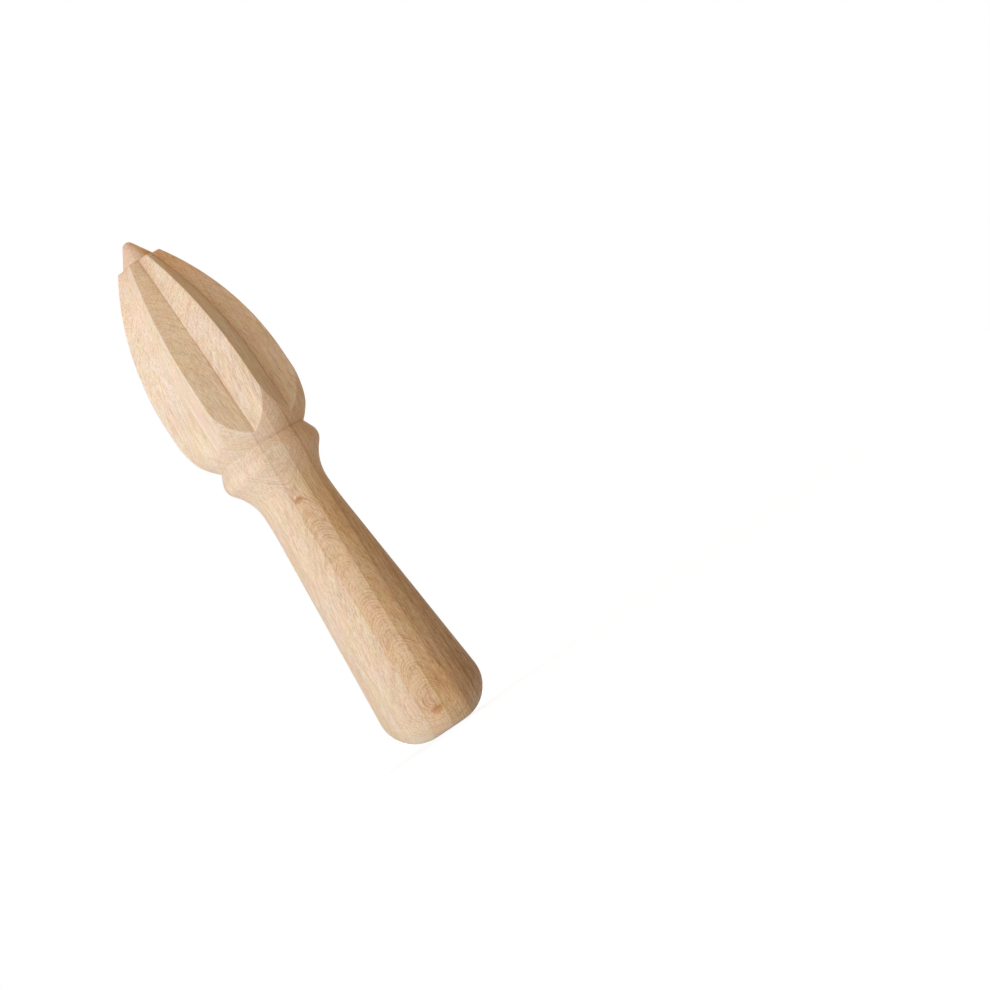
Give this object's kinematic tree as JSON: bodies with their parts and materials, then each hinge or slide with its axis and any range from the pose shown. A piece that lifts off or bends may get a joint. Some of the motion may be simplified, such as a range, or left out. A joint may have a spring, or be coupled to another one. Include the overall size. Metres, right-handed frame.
{
  "type": "wooden citrus reamer",
  "caption": "Hand-held citrus reamer turned from one piece of beech: pointed fluted head, collar and flared round handle.",
  "frame": {"origin": "centre of the flat at the end of the handle, on the turning axis", "axes": "+Z along the turning axis from the butt to the pointed tip, -Y through the middle of one flute"},
  "size_m": [0.039, 0.039, 0.165],
  "materials": {
    "beech": "bare fine-sanded beech, matte"
  },
  "bodies": {
    "root": {"reamer": "beech"}
  },
  "joints": []
}
